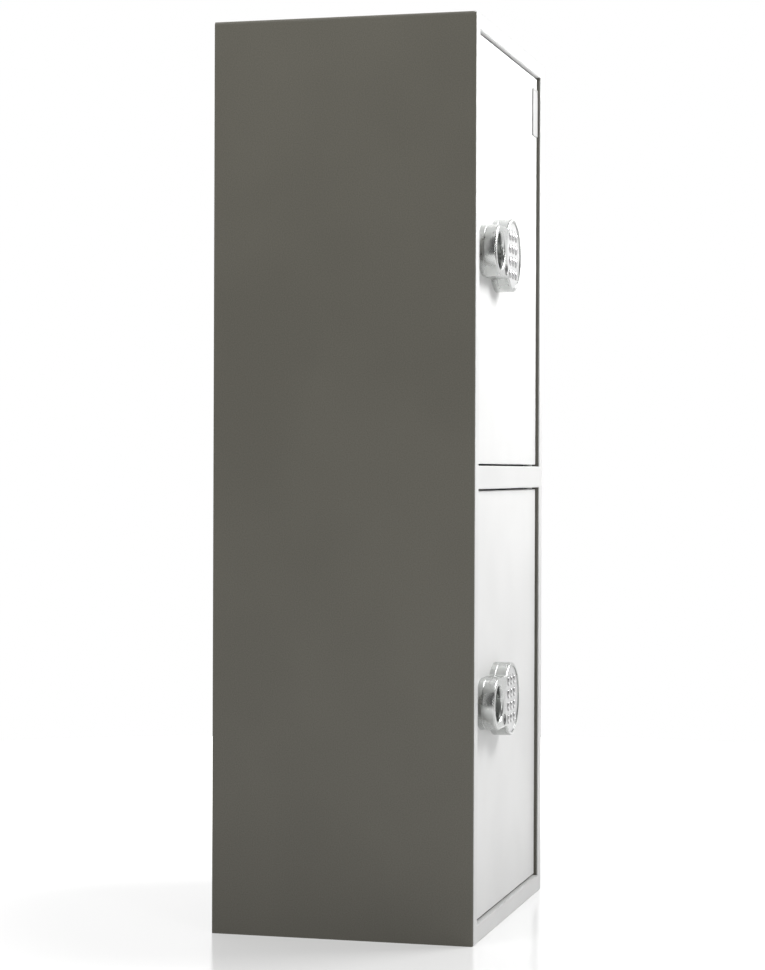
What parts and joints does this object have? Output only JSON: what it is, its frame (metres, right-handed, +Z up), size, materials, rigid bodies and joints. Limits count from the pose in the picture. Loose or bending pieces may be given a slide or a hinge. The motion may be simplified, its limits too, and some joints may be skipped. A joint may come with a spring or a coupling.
{
  "type": "parcel locker",
  "caption": "Tall narrow steel parcel locker with stacked compartments, inset hinged doors and electronic keypad locks with finger pulls.",
  "frame": {"origin": "centre of the carcass's base, on the surface it stands on", "axes": "+Z up, doors face -Y, +X to the right seen from the front"},
  "size_m": [0.32, 0.2635, 0.85],
  "materials": {
    "carcass_paint": "fine textured powder coat, warm dark grey",
    "front_paint": "fine textured powder coat, light silver grey",
    "liner_paint": "fine textured powder coat, warm dark grey",
    "satin_metal": "satin plated die casting",
    "keypad_metal": "fine brushed plate",
    "key_metal": "satin, lightly crowned",
    "zinc_plate": "bright zinc plate",
    "contact_black": "black moulded cup",
    "light_window": "dark clear window",
    "case_black": "spark-eroded texture",
    "board_green": "solder resist",
    "battery_wrap": "shrink sleeve",
    "plate_plastic": "blank satin plastic"
  },
  "bodies": {
    "carcass": {"outer_shell": "carcass_paint", "base_panel": "carcass_paint", "back_panel": "carcass_paint", "shelf_trays": "carcass_paint", "front_frame": "front_paint", "reveal_liner": "liner_paint", "strike_plates": "zinc_plate"},
    "lower_door": {"lower_door_skin": "front_paint", "lower_door_inner_panel": "front_paint", "lower_hinge_pins": "zinc_plate", "lower_lock_base_plate": "satin_metal", "lower_lock_housing": "satin_metal", "lower_keypad_plate": "keypad_metal", "lower_status_lights": "light_window", "lower_key_contact": "contact_black", "lower_circuit_board": "board_green", "lower_lock_rear_case": "case_black", "lower_bolt_motor": "zinc_plate", "lower_battery": "battery_wrap", "lower_lock_screws": "zinc_plate"},
    "lower_bolt": {"lower_lock_bolt": "zinc_plate"},
    "lower_key_1_cap": {"lower_key_1": "key_metal"},
    "lower_key_2_cap": {"lower_key_2": "key_metal"},
    "lower_key_3_cap": {"lower_key_3": "key_metal"},
    "lower_key_4_cap": {"lower_key_4": "key_metal"},
    "lower_key_5_cap": {"lower_key_5": "key_metal"},
    "lower_key_6_cap": {"lower_key_6": "key_metal"},
    "lower_key_7_cap": {"lower_key_7": "key_metal"},
    "lower_key_8_cap": {"lower_key_8": "key_metal"},
    "lower_key_9_cap": {"lower_key_9": "key_metal"},
    "lower_key_clear_cap": {"lower_key_clear": "key_metal"},
    "lower_key_0_cap": {"lower_key_0": "key_metal"},
    "lower_key_enter_cap": {"lower_key_enter": "key_metal"},
    "upper_door": {"upper_door_skin": "front_paint", "upper_door_inner_panel": "front_paint", "upper_hinge_pins": "zinc_plate", "upper_lock_base_plate": "satin_metal", "upper_lock_housing": "satin_metal", "upper_keypad_plate": "keypad_metal", "upper_status_lights": "light_window", "upper_key_contact": "contact_black", "upper_circuit_board": "board_green", "upper_lock_rear_case": "case_black", "upper_bolt_motor": "zinc_plate", "upper_battery": "battery_wrap", "upper_lock_screws": "zinc_plate", "number_plate": "plate_plastic"},
    "upper_bolt": {"upper_lock_bolt": "zinc_plate"},
    "upper_key_1_cap": {"upper_key_1": "key_metal"},
    "upper_key_2_cap": {"upper_key_2": "key_metal"},
    "upper_key_3_cap": {"upper_key_3": "key_metal"},
    "upper_key_4_cap": {"upper_key_4": "key_metal"},
    "upper_key_5_cap": {"upper_key_5": "key_metal"},
    "upper_key_6_cap": {"upper_key_6": "key_metal"},
    "upper_key_7_cap": {"upper_key_7": "key_metal"},
    "upper_key_8_cap": {"upper_key_8": "key_metal"},
    "upper_key_9_cap": {"upper_key_9": "key_metal"},
    "upper_key_clear_cap": {"upper_key_clear": "key_metal"},
    "upper_key_0_cap": {"upper_key_0": "key_metal"},
    "upper_key_enter_cap": {"upper_key_enter": "key_metal"}
  },
  "joints": [
    {"name": "lower_door_hinge", "type": "hinge", "parent": "carcass", "child": "lower_door", "pos_m": [0.133, -0.11493, 0.2165], "axis": [0, 0, 1], "range_deg": [0, 110]},
    {"name": "lower_bolt_slide", "type": "slide", "parent": "lower_door", "child": "lower_bolt", "axis": [-1, 0, 0], "range_m": [0, 0.01]},
    {"name": "lower_key_1_press", "type": "slide", "parent": "lower_door", "child": "lower_key_1_cap", "axis": [0, 1, 0], "range_m": [0, 0.0008], "stiffness_N_per_m": 2500},
    {"name": "lower_key_2_press", "type": "slide", "parent": "lower_door", "child": "lower_key_2_cap", "axis": [0, 1, 0], "range_m": [0, 0.0008], "stiffness_N_per_m": 2500},
    {"name": "lower_key_3_press", "type": "slide", "parent": "lower_door", "child": "lower_key_3_cap", "axis": [0, 1, 0], "range_m": [0, 0.0008], "stiffness_N_per_m": 2500},
    {"name": "lower_key_4_press", "type": "slide", "parent": "lower_door", "child": "lower_key_4_cap", "axis": [0, 1, 0], "range_m": [0, 0.0008], "stiffness_N_per_m": 2500},
    {"name": "lower_key_5_press", "type": "slide", "parent": "lower_door", "child": "lower_key_5_cap", "axis": [0, 1, 0], "range_m": [0, 0.0008], "stiffness_N_per_m": 2500},
    {"name": "lower_key_6_press", "type": "slide", "parent": "lower_door", "child": "lower_key_6_cap", "axis": [0, 1, 0], "range_m": [0, 0.0008], "stiffness_N_per_m": 2500},
    {"name": "lower_key_7_press", "type": "slide", "parent": "lower_door", "child": "lower_key_7_cap", "axis": [0, 1, 0], "range_m": [0, 0.0008], "stiffness_N_per_m": 2500},
    {"name": "lower_key_8_press", "type": "slide", "parent": "lower_door", "child": "lower_key_8_cap", "axis": [0, 1, 0], "range_m": [0, 0.0008], "stiffness_N_per_m": 2500},
    {"name": "lower_key_9_press", "type": "slide", "parent": "lower_door", "child": "lower_key_9_cap", "axis": [0, 1, 0], "range_m": [0, 0.0008], "stiffness_N_per_m": 2500},
    {"name": "lower_key_clear_press", "type": "slide", "parent": "lower_door", "child": "lower_key_clear_cap", "axis": [0, 1, 0], "range_m": [0, 0.0008], "stiffness_N_per_m": 2500},
    {"name": "lower_key_0_press", "type": "slide", "parent": "lower_door", "child": "lower_key_0_cap", "axis": [0, 1, 0], "range_m": [0, 0.0008], "stiffness_N_per_m": 2500},
    {"name": "lower_key_enter_press", "type": "slide", "parent": "lower_door", "child": "lower_key_enter_cap", "axis": [0, 1, 0], "range_m": [0, 0.0008], "stiffness_N_per_m": 2500},
    {"name": "upper_door_hinge", "type": "hinge", "parent": "carcass", "child": "upper_door", "pos_m": [0.133, -0.11493, 0.6365], "axis": [0, 0, 1], "range_deg": [0, 110]},
    {"name": "upper_bolt_slide", "type": "slide", "parent": "upper_door", "child": "upper_bolt", "axis": [-1, 0, 0], "range_m": [0, 0.01]},
    {"name": "upper_key_1_press", "type": "slide", "parent": "upper_door", "child": "upper_key_1_cap", "axis": [0, 1, 0], "range_m": [0, 0.0008], "stiffness_N_per_m": 2500},
    {"name": "upper_key_2_press", "type": "slide", "parent": "upper_door", "child": "upper_key_2_cap", "axis": [0, 1, 0], "range_m": [0, 0.0008], "stiffness_N_per_m": 2500},
    {"name": "upper_key_3_press", "type": "slide", "parent": "upper_door", "child": "upper_key_3_cap", "axis": [0, 1, 0], "range_m": [0, 0.0008], "stiffness_N_per_m": 2500},
    {"name": "upper_key_4_press", "type": "slide", "parent": "upper_door", "child": "upper_key_4_cap", "axis": [0, 1, 0], "range_m": [0, 0.0008], "stiffness_N_per_m": 2500},
    {"name": "upper_key_5_press", "type": "slide", "parent": "upper_door", "child": "upper_key_5_cap", "axis": [0, 1, 0], "range_m": [0, 0.0008], "stiffness_N_per_m": 2500},
    {"name": "upper_key_6_press", "type": "slide", "parent": "upper_door", "child": "upper_key_6_cap", "axis": [0, 1, 0], "range_m": [0, 0.0008], "stiffness_N_per_m": 2500},
    {"name": "upper_key_7_press", "type": "slide", "parent": "upper_door", "child": "upper_key_7_cap", "axis": [0, 1, 0], "range_m": [0, 0.0008], "stiffness_N_per_m": 2500},
    {"name": "upper_key_8_press", "type": "slide", "parent": "upper_door", "child": "upper_key_8_cap", "axis": [0, 1, 0], "range_m": [0, 0.0008], "stiffness_N_per_m": 2500},
    {"name": "upper_key_9_press", "type": "slide", "parent": "upper_door", "child": "upper_key_9_cap", "axis": [0, 1, 0], "range_m": [0, 0.0008], "stiffness_N_per_m": 2500},
    {"name": "upper_key_clear_press", "type": "slide", "parent": "upper_door", "child": "upper_key_clear_cap", "axis": [0, 1, 0], "range_m": [0, 0.0008], "stiffness_N_per_m": 2500},
    {"name": "upper_key_0_press", "type": "slide", "parent": "upper_door", "child": "upper_key_0_cap", "axis": [0, 1, 0], "range_m": [0, 0.0008], "stiffness_N_per_m": 2500},
    {"name": "upper_key_enter_press", "type": "slide", "parent": "upper_door", "child": "upper_key_enter_cap", "axis": [0, 1, 0], "range_m": [0, 0.0008], "stiffness_N_per_m": 2500}
  ]
}
